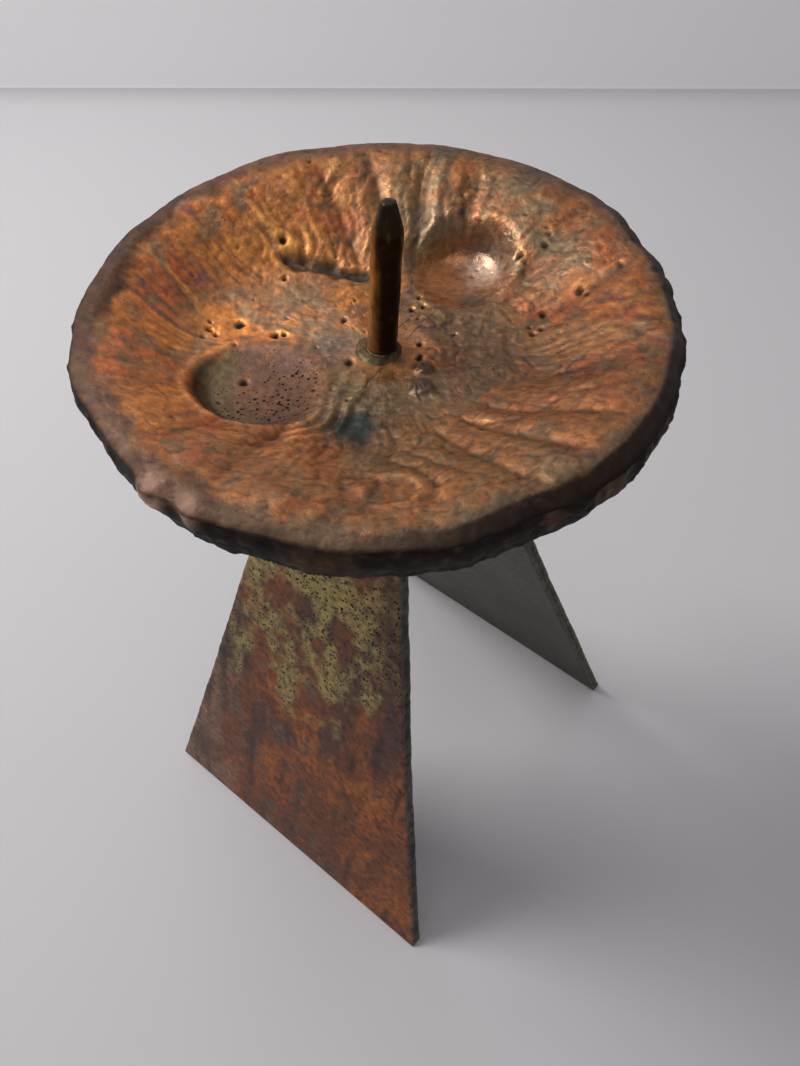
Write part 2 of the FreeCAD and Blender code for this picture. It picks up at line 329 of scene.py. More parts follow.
def weathered_metal(name, metallic, grain, contrast, speck_size, speck_colour, relief):
    """Aged metal: painted patina with fine mottling, dark specks where asked for, and a grainy skin.

    grain is the number of mottles to a metre and contrast how far they darken and brighten the patina;
    speck_size is the spacing of the specks and relief the depth of the grain.
    """
    smallest_speck = 0.10
    speck_swing = 0.36
    speck_sharpness = 9.0
    speck_roughness = 0.3
    speck_depth = 0.9
    roughness_swing = 0.5
    material = bpy.data.materials.new(name)
    material.use_nodes = True
    tree = material.node_tree
    shader = tree.nodes["Principled BSDF"]
    shader.inputs["Metallic"].default_value = metallic

    def add(kind, **values):
        made = tree.nodes.new(kind)
        for key, value in values.items():
            setattr(made, key, value)
        return made

    def math_node(operation, first, second, clamp=False):
        made = add("ShaderNodeMath", operation=operation, use_clamp=clamp)
        for socket, value in zip(made.inputs, (first, second)):
            if isinstance(value, (int, float)):
                socket.default_value = value
            else:
                tree.links.new(value, socket)
        return made.outputs[0]

    place = add("ShaderNodeTexCoord").outputs["Object"]
    patina = add("ShaderNodeAttribute", attribute_name="patina").outputs["Color"]
    gloss = add("ShaderNodeAttribute", attribute_name="gloss").outputs["Fac"]
    specks = add("ShaderNodeAttribute", attribute_name="specks").outputs["Fac"]

    mottle = add("ShaderNodeTexNoise")
    mottle.inputs["Scale"].default_value = grain
    mottle.inputs["Detail"].default_value = 6.0
    mottle.inputs["Roughness"].default_value = 0.62
    tree.links.new(place, mottle.inputs["Vector"])
    shade = add("ShaderNodeValToRGB")
    dark, light = shade.color_ramp.elements
    dark.position = 0.30
    dark.color = (1 - contrast, 1 - contrast, 1 - contrast, 1)
    light.position = 0.72
    light.color = (1 + contrast, 1 + contrast, 1 + 0.8 * contrast, 1)
    tree.links.new(mottle.outputs["Fac"], shade.inputs["Fac"])
    tinted = add("ShaderNodeMix", data_type="RGBA", blend_type="MULTIPLY")
    tinted.inputs[0].default_value = 1.0
    tree.links.new(patina, tinted.inputs[6])
    tree.links.new(shade.outputs["Color"], tinted.inputs[7])

    cells = add("ShaderNodeTexVoronoi")
    cells.inputs["Scale"].default_value = 1 / speck_size
    tree.links.new(place, cells.inputs["Vector"])
    uneven = math_node("ADD", math_node("MULTIPLY", cells.outputs["Color"], speck_swing), smallest_speck)
    size = math_node("MULTIPLY", specks, uneven)
    dot = math_node("SUBTRACT", size, cells.outputs["Distance"])
    dot = math_node("MULTIPLY", dot, speck_sharpness, clamp=True)
    dotted = add("ShaderNodeMix", data_type="RGBA")
    dotted.inputs[7].default_value = (*speck_colour, 1)
    tree.links.new(dot, dotted.inputs[0])
    tree.links.new(tinted.outputs[2], dotted.inputs[6])
    tree.links.new(dotted.outputs[2], shader.inputs["Base Color"])

    swing = math_node("MULTIPLY", math_node("SUBTRACT", mottle.outputs["Fac"], 0.5), roughness_swing)
    rough = math_node("ADD", gloss, swing)
    rough = math_node("ADD", rough, math_node("MULTIPLY", dot, speck_roughness), clamp=True)
    tree.links.new(rough, shader.inputs["Roughness"])

    height = math_node("SUBTRACT", mottle.outputs["Fac"], math_node("MULTIPLY", dot, speck_depth))
    bump = add("ShaderNodeBump")
    bump.inputs["Strength"].default_value = 0.7
    bump.inputs["Distance"].default_value = relief
    tree.links.new(height, bump.inputs["Height"])
    tree.links.new(bump.outputs["Normal"], shader.inputs["Normal"])
    return material


def cast_copper_finish(dish):
    """Cast copper alloy, wiped bright on the high places and tarnished in the low ones."""
    return weathered_metal(
        "cast_copper_patina", metallic=0.62, grain=620.0, contrast=0.36,
        speck_size=0.95 * MM, speck_colour=dish.soot, relief=0.32 * MM)


def leg_sheet_finish(plates):
    """Torch-coloured sheet with black speckles."""
    return weathered_metal(
        "torched_leg_sheet", metallic=0.55, grain=480.0, contrast=0.75,
        speck_size=1.0 * MM, speck_colour=plates.soot, relief=0.30 * MM)


def spike_finish(spike):
    """Rod darkened by the torch, with golden scale."""
    return weathered_metal(
        "blackened_spike", metallic=0.8, grain=420.0, contrast=0.4,
        speck_size=1.2 * MM, speck_colour=spike.iron, relief=0.25 * MM)


def braze_finish(plates):
    """Filler metal left as it set."""
    return weathered_metal(
        "braze_filler", metallic=0.8, grain=600.0, contrast=0.4,
        speck_size=1.2 * MM, speck_colour=plates.soot, relief=0.25 * MM)


def stage_finish(name, tint):
    """Plain matt table top or wall."""
    material = bpy.data.materials.new(name)
    material.use_nodes = True
    shader = material.node_tree.nodes["Principled BSDF"]
    shader.inputs["Base Color"].default_value = (*tint, 1)
    shader.inputs["Roughness"].default_value = 0.85
    shader.inputs["Specular IOR Level"].default_value = 0.25
    return material


# Features of the dish: places and sizes in millimetres from its axis, directions in degrees

SIDES = {  # direction and spread of each part of the wall
    "left": (-160.0, 44.0),
    "back_left": (152.0, 22.0),
    "back": (112.0, 26.0),
    "right": (28.0, 40.0),
    "front": (-52.0, 40.0),
    "calm": (75.0, 26.0),
    "ashen": (72.0, 26.0),
    # a side where painted shade dims the patina, towards the right hollow
    "dull": (75.0, 22.0),
    "greenish": (-28.0, 24.0),
}
CHARRED_SIDE = (14.0, 46.0)  # direction, spread
SCALLOPED_SIDE = (42.0, 30.0)
OLIVE_SIDE = (-10.0, 45.0)
WELL_BULGES = ((-150.0, 46.0, 13.0), (36.0, 36.0, 6.5))  # direction, spread, extra floor radius
FOOT_STRAY = 2.0
WALL_SOFTNESS = 0.09
FOLD_COUNT = 17
FOLD_DRIFT = 14.0
FOLD_FADE = 7.0
SEAT_REACH = (6.2, 11.0)  # radius where the flat round the spike ends
FINE_REACH = (5.6, 9.0)  # radius where the fine relief begins
PIT_REACH = (4.5, 6.5)  # radius where the pits begin
MARGIN_REACH = (53.5, 57.5)  # radius where the rim's margin begins

LEFT_HOLLOW = (-12.7, -23.6, 14.0)  # centre x, centre y, radius
LIP_SIDE = (-118.0, 78.0)  # direction from the hollow, spread
LIP_HEIGHT = 0.8
RIPPLED_SIDE = (-4.0, 52.0)
RIPPLE_SPACING = 3.3
RIPPLE_HEIGHT = 0.32
RIGHT_HOLLOW = (-0.3, 29.4, 11.6)
SCOOP_DIRECTION = 66.0

CRATER = (29.9, -34.0, 5.2)
SMOOTH_BOSS = (51.3, -15.7, 4.6)
BOSS_HEIGHT = 0.5
CLEFT = ((-34.0, 7.8), (-18.5, 16.0))  # its two ends
CLEFT_WIDTH = 1.5
CLEFT_DEPTH = 1.3
DARK_DROPS = ((10.8, 0.5, 2.4), (13.9, -4.5, 2.7))  # centre x, centre y, radius
DROP_HEIGHT = 0.7
CREST_HEIGHT = 0.60
WRINKLE_DEPTH = 0.22
PIT_DEPTH = 1.1
PITS = (  # centre x, centre y, radius
    (13.1, 41.5, 0.60), (9.4, 37.4, 0.55), (12.4, 44.0, 0.3), (22.3, 27.2, 0.5), (24.5, 23.6, 0.4),
    (23.5, 21.6, 0.4), (22.0, 23.0, 0.3), (27.0, 33.6, 0.55), (28.7, 33.6, 0.4), (-32.5, -18.7, 0.55),
    (-30.8, -18.7, 0.45), (-31.6, -21.0, 0.35), (-34.0, -17.0, 0.35), (-29.1, -13.0, 1.0), (-31.4, 3.8, 0.4),
    (-21.0, -10.8, 0.8), (-19.6, -9.4, 0.5), (-12.2, 2.0, 0.6), (-3.2, -7.0, 0.8), (7.8, 2.6, 0.7),
    (-3.5, 17.7, 0.5), (-2.4, 13.4, 0.6), (-1.0, 15.6, 0.5), (0.2, 12.0, 0.4), (5.4, 5.9, 0.5),
    (31.8, -9.0, 0.35), (-37.4, 10.6, 0.9), (-16.8, -24.6, 0.75),
)
FAINT_PITS = 36
FAINT_PIT_LEAST = (-46, -46, 0.2)  # centre x, centre y, radius
FAINT_PIT_MOST = (46, 46, 0.36)

FLOOR_STAINS = (  # colour, shade, centre x and y, reach, strength
    ("slate", 0.7, -8.0, -7.5, 6.5, 0.9),
    ("olive", 1.0, 5.0, -14.0, 7.0, 0.85),
    ("rose", 1.0, 4.0, 9.0, 6.0, 0.6),
)
# centre of the painted highlight in the right hollow
HIGHLIGHT_SPOT = (3.3, 34.2)  # centre x, centre y
SLATE_SPOT = (7.0, 24.5)
TEAL_POOL = (10.4, -21.9)
TEAL_SPOT = (-8.9, 40.9)
SCRATCHES = ((-48.9, 2.9, 4.5, 0.8), (-25.0, -7.0, 4.5, 0.6))  # centre x, centre y, reach, strength
STIPPLE_REACH = (-20.0, -8.0)  # x where the stipple of the left hollow thickens

LUMPS = ((-90.0, 2.4, 3.4), (-82.0, 1.5, 3.0))  # direction, reach, half width
EDGE_WAVES = ((5, 0.6, 0.8), (9, 0.5, 2.0), (17, 0.4, 0.0))  # waves to a turn, height, phase
EDGE_BEVEL = 2.4
EDGE_END = (9.0, 10.5)  # depth where the rough edge ends
UNDERSIDE_START = (9.5, 11.0)  # depth where the underside's colour begins
EDGE_SPECKS = 0.15
DISH_COLUMNS = 500
TOP_ROWS = 140
EDGE_ROWS = 20
UNDER_ROWS = 24


def blurred(field, reach):
    """The field averaged with its neighbours along and across the grid, over and over."""
    for step in range(reach):
        padded = np.pad(field, ((1, 1), (0, 0)), mode="edge")
        field = (padded[:-2] + padded[1:-1] + padded[2:]) / 3
        field = (np.roll(field, 1, 1) + field + np.roll(field, -1, 1)) / 3
    return field


class DishSurface:
    """Height and colour of the top of the dish at each point, built up from its separate features."""

    def __init__(self, dish, radius, angle):
        self.dish = dish
        self.radius = radius
        self.angle = angle
        self.x = radius * np.cos(angle)
        self.y = radius * np.sin(angle)
        self.sides = {name: sector(angle, *place) for name, place in SIDES.items()}
        self.well = (dish.rim_radius - dish.rim_shoulder) / MM
        self.depth = dish.well_depth / MM
        self.foot = dish.floor_radius / MM + 0 * angle
        for direction, spread, extra in WELL_BULGES:
            self.foot = self.foot + extra * sector(angle, direction, spread)
        self.ragged_foot = self.foot + FOOT_STRAY * noise(4 * np.cos(angle), 4 * np.sin(angle), 0.0, 3)
        rise = ease((radius - self.ragged_foot) / FOLD_FADE + 0.6, 0, 1)
        self.wall = rise * (1 - ease((radius - self.well) / FOLD_FADE + 0.9, 0, 1))
        self.seat = ease(radius, *SEAT_REACH)
        self.height = self.main_forms() + self.fine_forms()
        self.hollow = self.dips(5, 0.22)
        self.sunk = self.dips(24, 0.6)

    def dips(self, reach, depth):
        """How far each point lies below its surroundings, as a share of the given depth."""
        return np.clip((blurred(self.height, reach) - self.height) / depth, -1.5, 1.5)

    def by_side(self, everywhere=0.0, **weights):
        """A base value, plus a weight for each side of the dish that a point lies on."""
        return sum((weight * self.sides[side] for side, weight in weights.items()), everywhere)

    def away(self, place):
        """Distance from a feature's centre."""
        return np.hypot(self.x - place[0], self.y - place[1])

    def bearing(self, place):
        """Direction from a feature's centre."""
        return np.arctan2(self.y - place[1], self.x - place[0])

    def away_from_cleft(self):
        """Distance from the line between the two ends of the cleft."""
        (start_x, start_y), (end_x, end_y) = CLEFT
        run_x, run_y = end_x - start_x, end_y - start_y
        share = ((self.x - start_x) * run_x + (self.y - start_y) * run_y) / (run_x ** 2 + run_y ** 2)
        share = np.clip(share, 0, 1)
        return np.hypot(self.x - start_x - share * run_x, self.y - start_y - share * run_y)

    def patches(self, size, seed):
        """Blotches about the given size across."""
        return layers(self.x / size, self.y / size, 0.0, seed)

    def mottle(self, fineness, seed):
        """Smooth noise with the given number of steps to a millimetre."""
        return noise(self.x * fineness, self.y * fineness, 0.0, seed)

    def flow(self, angle, count, fineness, seed):
        """Noise drawn out along the radius: count steps to a radian, and a slow change down the wall."""
        return noise(count * np.cos(angle), count * np.sin(angle), self.radius * fineness, seed)

    def folds(self):
        """Rounded crests of uneven width that drift down the wall; the left wall is almost bare."""
        turn = self.angle + math.radians(FOLD_DRIFT) * (self.well - self.radius) / self.well
        phase = FOLD_COUNT * turn + 2.2 * np.sin(3 * turn) + 1.4 * np.sin(5 * turn + 1.0)
        above_floor = ease((self.radius - self.foot) / FOLD_FADE + 0.5, 0, 1)
        below_rim = 1 - ease((self.radius - self.well) / FOLD_FADE + 1, 0, 1)
        strength = self.dish.fold_height / MM * self.by_side(0.75, left=-0.65)
        return strength * (2 * np.abs(np.cos(phase / 2)) - 1) * above_floor * below_rim

    def with_left_hollow(self, level):
        """A round bowl, as the cube of the distance, with a lip on one side and ripples on another."""
        size = LEFT_HOLLOW[2]
        distance = self.away(LEFT_HOLLOW) + 0.6 * self.mottle(0.16, 41)
        bearing = self.bearing(LEFT_HOLLOW)
        lipped = sector(bearing, *LIP_SIDE)
        self.in_left = 1 - ease((distance - size) / 5.4 + 0.7, 0, 1)
        # painted shade: a dark line just inside the left hollow's lip, where its step throws shade
        self.lip_shade_line = bell(distance - size + 1.0, 0.7) * (0.25 + 0.75 * lipped)
        strayed = distance + 1.5 * self.mottle(0.12, 42)
        beside = bell(distance - size - 5.5, 4.5) * sector(bearing, *RIPPLED_SIDE)
        self.ripples = beside * np.sin(TAU * strayed / RIPPLE_SPACING)
        bowl = -self.depth - 0.5 + 1.9 * (distance / size) ** 3
        lip = LIP_HEIGHT * bell(distance - size - 0.6, 1.3) * (0.1 + 0.9 * lipped)
        return level * (1 - self.in_left) + bowl * self.in_left + lip

    def with_right_hollow(self, level):
        """A round bowl whose far side is scooped up much higher than its near side."""
        size = RIGHT_HOLLOW[2]
        distance = self.away(RIGHT_HOLLOW)
        self.in_right = 1 - ease((distance - size) / 6.5 + 0.55, 0, 1)
        far_side = np.cos(self.bearing(RIGHT_HOLLOW) - math.radians(SCOOP_DIRECTION))
        scoop = 0.9 + 3.9 * ease(far_side, -0.3, 0.7)
        bowl = -self.depth - 0.3 + scoop * (distance / size) ** 2.8
        return level * (1 - self.in_right) + bowl * self.in_right

    def main_forms(self):
        """Rolled rim, a wall that runs out softly into the floor, folds, and the two round hollows."""
        reach = (self.radius - self.foot) / (self.well - self.foot)
        share = np.clip(0.5 * (reach + np.sqrt(np.square(reach) + WALL_SOFTNESS)), 0, 1)
        slope = 0.75 * (1 - share) ** 1.35 + 0.25 * (1 - ease(share, 0, 1))
        level = -self.depth * slope + self.folds()
        level = self.with_right_hollow(self.with_left_hollow(level))
        roll = np.maximum(self.radius - self.well, 0) / (self.dish.rim_shoulder / MM)
        level = level - self.dish.rim_roll / MM * np.square(roll) - edge_bevel(self.angle) * roll
        return level * self.seat - self.depth * (1 - self.seat)

    def flow_ridges(self, bend):
        """Lobes at the front, pleats at the back and thin threads, bent by slow noise, on the wall only."""
        bent = self.angle + bend
        lobes = ridges(self.flow(bent, 6, 0.09, 21))
        pleats = ridges(self.flow(bent, 17, 0.05, 22))
        threads = self.flow(bent, 34, 0.06, 23)
        self.streak = self.flow(self.angle + 0.25 * bend, 52, 0.05, 24)
        self.drawn = layers(6 * np.cos(bent), 6 * np.sin(bent), self.radius * 0.06, 25)
        broken = ease(self.patches(10.0, 26), -0.35, 0.35)
        self.crest = self.by_side(0.2, front=0.8, right=0.3) * lobes
        self.crest = self.crest + self.by_side(0.15, back_left=0.75, back=0.55) * pleats * broken
        relief = CREST_HEIGHT * self.by_side(1.0, right=-0.45, calm=-0.45, front=-0.2) * self.crest
        relief = relief + self.by_side(0.08, back_left=0.22, back=0.12) * threads
        return relief * self.wall * self.by_side(1.0, left=-0.85) + 0.08 * self.streak * self.wall

    def floor_lumps(self):
        """Lumps of two sizes on the floor, of two more all over, and ripples beside the left hollow."""
        ground = 1 - ease(self.radius, self.ragged_foot - 9, self.ragged_foot + 4)
        self.ground = ground * (1 - self.in_left) * (1 - self.in_right)
        right_floor = self.ground * ease(self.x + 0.7 * self.y, -4.0, 12.0)
        relief = 0.5 * self.ground * self.patches(8.0, 31) + 0.35 * right_floor * self.patches(3.4, 33)
        relief = relief + RIPPLE_HEIGHT * self.ripples * self.seat
        return relief + 0.16 * self.patches(3.6, 36) + 0.10 * self.patches(1.5, 37)

    def all_pits(self):
        """The pits that are listed, with ragged sides, and a scatter of faint ones."""
        ragged = 0.25 * self.mottle(1.3, 48)
        pits = np.zeros_like(self.x)
        for x, y, size in PITS:
            pits = np.maximum(pits, bell(self.away((x, y)) + ragged, size))
        scatter = np.random.default_rng(7)
        for x, y, size in scatter.uniform(FAINT_PIT_LEAST, FAINT_PIT_MOST, (FAINT_PITS, 3)):
            pits = np.maximum(pits, 0.75 * bell(self.away((x, y)), size))
        return pits * ease(self.radius, *PIT_REACH)

    def single_features(self):
        """The cleft, the ring-shaped crater, two dark drops, the smooth boss on the rim, and the pits."""
        self.cleft = bell(self.away_from_cleft() + 0.9 * self.mottle(0.35, 43), CLEFT_WIDTH)
        distance = self.away(CRATER) + 0.8 * self.mottle(0.3, 45)
        crater = 0.5 * bell(distance - CRATER[2], 1.0) - 0.3 * bell(distance, 3.0)
        uneven = 0.7 * self.mottle(0.5, 46)
        self.drops = np.zeros_like(self.x)
        for x, y, size in DARK_DROPS:
            drop = 1 - ease(self.away((x, y)) + uneven, size - 1.6, size + 0.6)
            self.drops = np.maximum(self.drops, drop)
        self.boss = 1 - ease(self.away(SMOOTH_BOSS), SMOOTH_BOSS[2] - 1.8, SMOOTH_BOSS[2])
        self.pits = self.all_pits()
        raised = crater + DROP_HEIGHT * self.drops + BOSS_HEIGHT * self.boss
        return raised - CLEFT_DEPTH * self.cleft - PIT_DEPTH * self.pits

    def fine_forms(self):
        """Ridges, lumps and wrinkles, faint in the hollows, and the single features; none by the spike."""
        bend = 0.20 * self.mottle(0.06, 11) + 0.08 * self.mottle(0.17, 12)
        wrinkled = ridges(noise(self.x * 0.33 + 0.8 * bend, self.y * 0.33, 0.0, 38))
        self.wrinkle = ease(-wrinkled, 0.35, 0.95) * self.by_side(1.0, left=-0.7)
        relief = self.flow_ridges(bend) + self.floor_lumps() - WRINKLE_DEPTH * self.wrinkle
        relief = relief * (1 - 0.9 * self.in_right) * (1 - 0.75 * self.in_left)
        return (relief + self.single_features()) * ease(self.radius, *FINE_REACH)

    def wall_colours(self, cloud, patch, blot, grain):
        """Copper with gold and purple streaks on the left, gold and ash folds behind, blotches elsewhere."""
        dish = self.dish
        tone = mixed(dish.brown, dish.copper, 0.62 + 0.40 * self.drawn + 0.70 * patch + 0.60 * blot)
        tone = mixed(tone, dish.ember, 0.75 * ease(0.8 * blot - 0.6 * patch + 0.2 * grain, 0.05, 0.45))
        lit = ease(self.crest + 0.3 * blot - 0.5 * self.hollow, 0.1, 1.0)
        tone = mixed(tone, dish.gold, lit * self.by_side(back_left=0.75, back=0.25, front=0.25, right=0.2))
        golden = ease(self.streak + 0.3 * blot, 0.35, 0.85)
        tone = mixed(tone, dish.gold, golden * self.by_side(0.10, left=0.55, back_left=0.25, right=0.3))
        purple = ease(-self.streak + 0.6 * blot, 0.30, 0.80)
        tone = mixed(tone, dish.plum, 0.80 * purple * self.by_side(0.25, left=0.75, right=0.3))
        film = ease(0.6 * self.drawn + 0.9 * patch + 0.5 * cloud + 0.3 * blot, -0.35, 0.5)
        filmed = film * self.by_side(0.20, back=0.85, ashen=0.75, front=0.60, right=0.25)
        tone = mixed(tone, dish.ash, filmed)
        green = ease(blot - 0.5 * patch, -0.05, 0.5)
        tone = mixed(tone, dish.olive, green * self.by_side(greenish=0.6, back=0.4, front=0.25))
        return mixed(tone, dish.ash, 0.6 * ease(-blot - 0.6 * patch, 0.25, 0.7))

    def floor_colours(self, cloud, patch, blot, grain):
        """Tan and grey film over copper, the floor's stains, gold on high places and plum in low ones."""
        dish = self.dish
        bare = ease(cloud + 0.7 * blot + 0.3 * grain - 0.3 * self.hollow, 0.1, 0.7)
        tone = mixed(dish.ash, dish.rose, 0.5 + 0.9 * patch + 0.4 * blot)
        tone = mixed(tone, dish.copper, 0.75 * bare)
        tone = mixed(tone, dish.olive, 0.6 * ease(-cloud + 0.6 * blot, 0.05, 0.5))
        for stain, shade, x, y, reach, strength in FLOOR_STAINS:
            tint = np.asarray(getattr(dish, stain)) * shade
            tone = mixed(tone, tint, strength * bell(self.away((x, y)), reach + 3 * patch))
        tone = mixed(tone, dish.gold, 0.4 * ease(-self.hollow + 0.8 * blot, 0.4, 1.0))
        return mixed(tone, dish.plum, 0.6 * ease(self.hollow, 0.2, 1.0))

    def with_hollow_colours(self, tone, cloud, patch, blot):
        """Rose skin with an olive side in the left hollow; burnished metal, a painted highlight on the
        right-back wall and a slate spot in the right one.
        """
        dish = self.dish
        olive_side = -0.06 * (self.x - LEFT_HOLLOW[0]) - 0.08 * (self.y - LEFT_HOLLOW[1])
        pressed = mixed(dish.rose, dish.brown, 0.55 + 0.6 * patch + 0.4 * blot)
        pressed = mixed(pressed, dish.plum, 0.6 * ease(cloud + 0.5 * blot, -0.1, 0.4))
        pressed = mixed(pressed, dish.olive, 0.9 * ease(olive_side + 0.4 * patch, 0.2, 0.8))
        tone = mixed(tone, pressed, 0.95 * self.in_left)
        burnished = mixed(dish.rose, dish.copper, 0.35 + 0.6 * patch)
        tone = mixed(tone, burnished, 0.9 * ease(self.in_right, 0.2, 0.9))
        # painted highlight: a pale patch where the right hollow's wall reflects the light
        worn = 1.1 * bell(self.away(HIGHLIGHT_SPOT), 4.6 + 1.5 * blot)
        tone = mixed(tone, dish.painted_highlight, worn * ease(self.in_right, 0.1, 0.6))
        return mixed(tone, dish.slate, 0.85 * bell(self.away(SLATE_SPOT), 3.2) * self.in_right)

    def with_spots(self, tone, blot):
        """Teal stains, dark drops, the cleft in teal with painted shade, painted shade along the line inside
        the left hollow's lip, and the ashen boss.
        """
        dish = self.dish
        tone = mixed(tone, dish.teal, 1.5 * bell(self.away(TEAL_POOL), 5.0 + 2.0 * blot))
        tone = mixed(tone, dish.teal, 0.9 * bell(self.away(TEAL_SPOT), 1.5))
        tone = mixed(tone, np.asarray(dish.plum) * 0.40, 0.9 * self.drops)
        # partly a teal stain, partly painted shade in the cleft
        tone = mixed(tone, dish.teal, 0.82 * self.cleft)
        # painted shade along the step inside the left hollow's lip
        tone = mixed(tone, dish.soot, 0.7 * self.lip_shade_line)
        return mixed(tone, dish.ash, 0.75 * self.boss)

    def with_rim_colours(self, tone, margin, patch, blot):
        """Purple-brown to olive margin, darker on the left, dark over the arris on the right as char and
        painted shade, pinkish with painted sheen on the lumps.
        """
        dish = self.dish
        greener = self.by_side(front=0.45, right=0.6, back=0.25)
        band = mixed(dish.margin, np.asarray(dish.olive) * 0.6, greener)
        band = band * self.by_side(1.0, left=-0.70)[..., None] * (1 + 0.35 * blot)[..., None]
        faint = 0.20 * np.clip(self.by_side(back=1.0, back_left=1.0), 0, 1)
        tone = mixed(tone, band, (0.85 - faint) * margin)
        over_arris = ease(self.radius + 0.5 * patch, self.well - 0.3, self.well + 0.5)
        # partly real char, partly painted shade over the arris on the right
        charred_and_shade = ease(sector(self.angle, *CHARRED_SIDE), 0.05, 0.35) * over_arris
        tone = mixed(tone, np.asarray(dish.crust_and_shade) * 2.0, 0.92 * charred_and_shade)
        # pinkish lumps, brightened as painted sheen
        lump = ease(lump_reach(dish, self.angle), 0.3, 1.8)
        return mixed(tone, dish.blister_and_sheen, 0.7 * lump * ease(self.radius, self.well - 1.0, self.well + 1.5))

    def patina(self):
        """All colours laid over each other, then darkened in the creases and wiped bright on the crests, and
        last scaled by side as painted light and shade.
        """
        dish = self.dish
        cloud = self.patches(17.0, 51)
        patch = self.patches(7.0, 52)
        blot = self.patches(3.0, 53)
        grain = self.patches(1.2, 54)
        margin = ease(self.radius + 2.6 * patch + 1.6 * blot + 1.2 * self.sides["left"], *MARGIN_REACH)
        tone = self.wall_colours(cloud, patch, blot, grain)
        tone = mixed(tone, self.floor_colours(cloud, patch, blot, grain), 0.9 * self.ground)
        tone = self.with_hollow_colours(tone, cloud, patch, blot)
        tone = self.with_spots(tone, blot)
        tone = self.with_rim_colours(tone, margin, patch, blot)
        tone = mixed(tone, dish.plum, 0.5 * self.wrinkle)
        tone = mixed(tone, dish.soot, np.clip(0.40 * self.hollow + 0.10 * self.sunk, 0, 0.70))
        wiped = np.clip(-0.45 * self.hollow, 0, 0.6) * (1 - margin)
        # painted light and shade: brighter on the left wall and darker behind, on the right, at the front
        # and towards the right hollow; darker in the left hollow; fixed shares in the margin and the right
        # hollow
        light = self.by_side(
            0.92, left=0.42, back=-0.16, back_left=-0.16, right=-0.36, front=-0.12, dull=-0.20)
        light = light - 0.40 * self.in_left + 0.06 * self.ground
        light = light * (1 - margin) + 0.80 * margin
        light = light * (1 - self.in_right) + 0.72 * self.in_right
        tone = tone * (light * (1 + 1.1 * wiped + 0.25 * grain))[..., None]
        return mixed(tone, dish.soot, 0.95 * ease(self.pits, 0.2, 0.7))

    def gloss(self):
        """Roughness: smoother on worn crests and in the right hollow, rougher in pits and on the rim."""
        rough = 0.43 + 0.15 * self.hollow - 0.26 * self.in_right + 0.10 * self.in_left
        rough = rough + 0.12 * self.patches(5.0, 58) + 0.3 * self.pits
        worn_rim = ease(self.radius, self.well - 3.0, self.well + 1.5)
        return np.clip(rough + 0.20 * worn_rim, 0.18, 0.9)

    def specks(self):
        """Fine dark pits, thickest in the left hollow and near the pits on the left wall."""
        thickest = 0.55 + 0.45 * ease(self.x, *STIPPLE_REACH)
        stippled = self.in_left * thickest * ease(self.mottle(0.25, 61), -1.1, 0.1)
        scratched = sum(strength * bell(self.away((x, y)), reach) for x, y, reach, strength in SCRATCHES)
        return np.clip(1.1 * stippled + scratched, 0, 1.1)


def edge_bevel(angle):
    """How far the arris drops where the edge is charred and slopes outwards."""
    return EDGE_BEVEL * sector(angle, *CHARRED_SIDE)


def edge_stray(angle):
    """How far the edge strays from a circle: slow waves, still at four places, scallops and nicks."""
    across, along = np.cos(angle), np.sin(angle)
    waves = sum(height * np.sin(count * angle + phase) for count, height, phase in EDGE_WAVES)
    waves = 0.9 * waves * np.abs(np.sin(2 * angle))
    scallops = 0.7 * sector(angle, *SCALLOPED_SIDE) * ridges(noise(8 * across, 8 * along, 0.0, 72))
    return waves + scallops + 0.25 * layers(9 * across, 9 * along, 0.0, 73)


def lump_reach(dish, angle):
    """How far the lumps stand out from the edge in each direction."""
    total = 0.0
    for direction, reach, width in LUMPS:
        turn = (angle - math.radians(direction) + math.pi) % TAU - math.pi
        total = total + reach * bell(turn * dish.rim_radius / MM, width)
    return total


def dish_profile(dish):
    """A turned section, from the bore over the top, the edge and the underside to the flat boss.

    Gives each point's radius, its height from the rim and its share of the way down the edge.
    """
    rim = dish.rim_radius / MM
    bore = dish.bore_radius / MM
    boss = dish.boss_radius / MM
    turn = dish.edge_rounding / MM
    roll = dish.rim_roll / MM
    low = -dish.edge_thickness / MM
    floor = (dish.underside - dish.rim_height) / MM
    collar = 6.0
    top = np.concatenate([np.linspace(bore, collar, 6)[:-1], np.linspace(collar, rim, TOP_ROWS - 5)])
    down = np.linspace(0, 1, EDGE_ROWS)[1:]
    swing = np.linspace(0, math.pi / 2, 8)[1:]
    slope = np.linspace(0, 1, UNDER_ROWS)[1:]
    flat = np.linspace(boss, bore, 8)[1:]
    radius = np.concatenate([
        top,
        rim + dish.edge_belly / MM * np.sin(math.pi * down),
        rim - turn + turn * np.cos(swing),
        (rim - turn) * (1 - slope) + boss * slope,
        flat,
    ])
    height = np.concatenate([
        np.zeros(top.shape),
        -roll + (low + turn + roll) * down,
        low + turn - turn * np.sin(swing),
        low + (floor - low) * ease(slope, 0, 1),
        np.full(flat.shape, floor),
    ])
    share = np.concatenate([np.zeros(top.shape), down, np.ones(len(swing) + len(slope) + len(flat))])
    return radius, height, share


